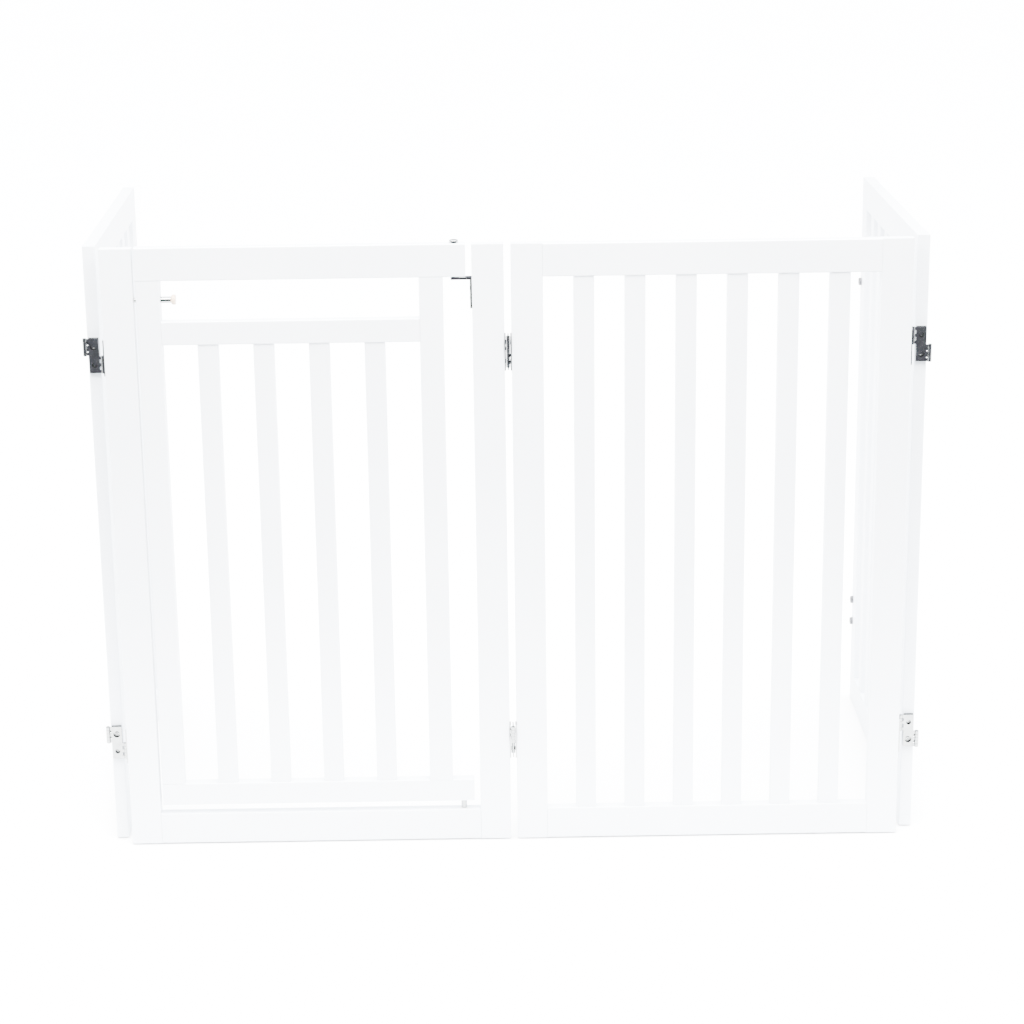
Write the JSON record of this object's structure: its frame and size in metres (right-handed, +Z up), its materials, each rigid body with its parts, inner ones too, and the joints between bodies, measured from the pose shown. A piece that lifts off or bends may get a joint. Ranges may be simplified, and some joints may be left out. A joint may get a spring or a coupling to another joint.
{
  "type": "pet gate",
  "caption": "Freestanding white slatted wooden pet gate with a latched walk-through door and side wings folding on two-way hinges.",
  "frame": {"origin": "on the floor under the centre of the whole gate, wings folded back as they stand", "axes": "+X to the right along the two front panels, +Y away from the front, +Z up"},
  "size_m": [1.0916, 0.5344, 0.807],
  "materials": {
    "white_wood": "satin white lacquer over smooth wood",
    "plated_steel": "bright zinc or nickel plating",
    "dowel_wood": "plain wood, glued in",
    "bumper_rubber": "matte",
    "knob_plastic": "satin beige",
    "bush_plastic": "matte white"
  },
  "bodies": {
    "door_frame": {"door_frame_bottom_rail": "white_wood", "door_frame_dowels": "dowel_wood", "door_frame_glides": "plated_steel", "door_frame_left_stile": "white_wood", "door_frame_right_stile": "white_wood", "door_frame_screws": "plated_steel", "left_hinge_near_leaves": "plated_steel", "middle_hinge_far_leaves": "plated_steel", "pivot_bracket": "plated_steel", "pivot_bush": "bush_plastic", "strike_bush": "bush_plastic"},
    "door": {"bottom_pivot_pin": "plated_steel", "door_bottom_rail": "white_wood", "door_dowels": "dowel_wood", "door_latch_stile": "white_wood", "door_pivot_stile": "white_wood", "door_slats": "white_wood", "door_top_rail": "white_wood", "door_upper_rail": "white_wood", "pivot_washer": "plated_steel", "top_pivot_bolt": "plated_steel"},
    "latch": {"latch_bolt": "plated_steel", "latch_knob": "knob_plastic"},
    "mid_link": {"middle_hinge_links": "plated_steel", "middle_hinge_pins": "plated_steel"},
    "right_panel": {"middle_hinge_near_leaves": "plated_steel", "right_hinge_near_leaves": "plated_steel", "right_panel_bottom_rail": "white_wood", "right_panel_dowels": "dowel_wood", "right_panel_glides": "plated_steel", "right_panel_left_stile": "white_wood", "right_panel_right_stile": "white_wood", "right_panel_screws": "plated_steel", "right_panel_slats": "white_wood", "right_panel_top_rail": "white_wood"},
    "left_link": {"left_hinge_links": "plated_steel", "left_hinge_pins": "plated_steel"},
    "left_wing": {"left_hinge_far_leaves": "plated_steel", "left_wing_bottom_rail": "white_wood", "left_wing_bumpers": "bumper_rubber", "left_wing_dowels": "dowel_wood", "left_wing_glides": "plated_steel", "left_wing_left_stile": "white_wood", "left_wing_right_stile": "white_wood", "left_wing_screws": "plated_steel", "left_wing_slats": "white_wood", "left_wing_top_rail": "white_wood"},
    "right_link": {"right_hinge_links": "plated_steel", "right_hinge_pins": "plated_steel"},
    "right_wing": {"right_hinge_far_leaves": "plated_steel", "right_wing_bottom_rail": "white_wood", "right_wing_bumpers": "bumper_rubber", "right_wing_dowels": "dowel_wood", "right_wing_glides": "plated_steel", "right_wing_left_stile": "white_wood", "right_wing_right_stile": "white_wood", "right_wing_screws": "plated_steel", "right_wing_slats": "white_wood", "right_wing_top_rail": "white_wood"}
  },
  "joints": [
    {"name": "door_swing", "type": "hinge", "parent": "door_frame", "child": "door", "pos_m": [-0.05968, -0.25334, 0.4035], "axis": [0, 0, -1], "range_deg": [-90, 90]},
    {"name": "latch_slide", "type": "slide", "parent": "door", "child": "latch", "axis": [1, 0, 0], "range_m": [-0.009, 0]},
    {"name": "mid_front", "type": "hinge", "parent": "door_frame", "child": "mid_link", "pos_m": [0.00682, -0.26444, 0.4035], "axis": [0, 0, -1], "range_deg": [0, 179]},
    {"name": "mid_rear", "type": "hinge", "parent": "mid_link", "child": "right_panel", "pos_m": [0.00682, -0.24224, 0.4035], "axis": [0, 0, 1], "range_deg": [0, 90]},
    {"name": "left_rear", "type": "hinge", "parent": "door_frame", "child": "left_link", "pos_m": [-0.50718, -0.24224, 0.4035], "axis": [0, 0, -1], "range_deg": [-87.8, 90.2]},
    {"name": "left_front", "type": "hinge", "parent": "left_link", "child": "left_wing", "pos_m": [-0.52936, -0.24309, 0.4035], "axis": [0, 0, 1], "range_deg": [0, 180]},
    {"name": "right_rear", "type": "hinge", "parent": "right_panel", "child": "right_link", "pos_m": [0.52082, -0.24224, 0.4035], "axis": [0, 0, 1], "range_deg": [-89.4, 88.6]},
    {"name": "right_front", "type": "hinge", "parent": "right_link", "child": "right_wing", "pos_m": [0.54302, -0.24247, 0.4035], "axis": [0, 0, -1], "range_deg": [0, 180]}
  ]
}
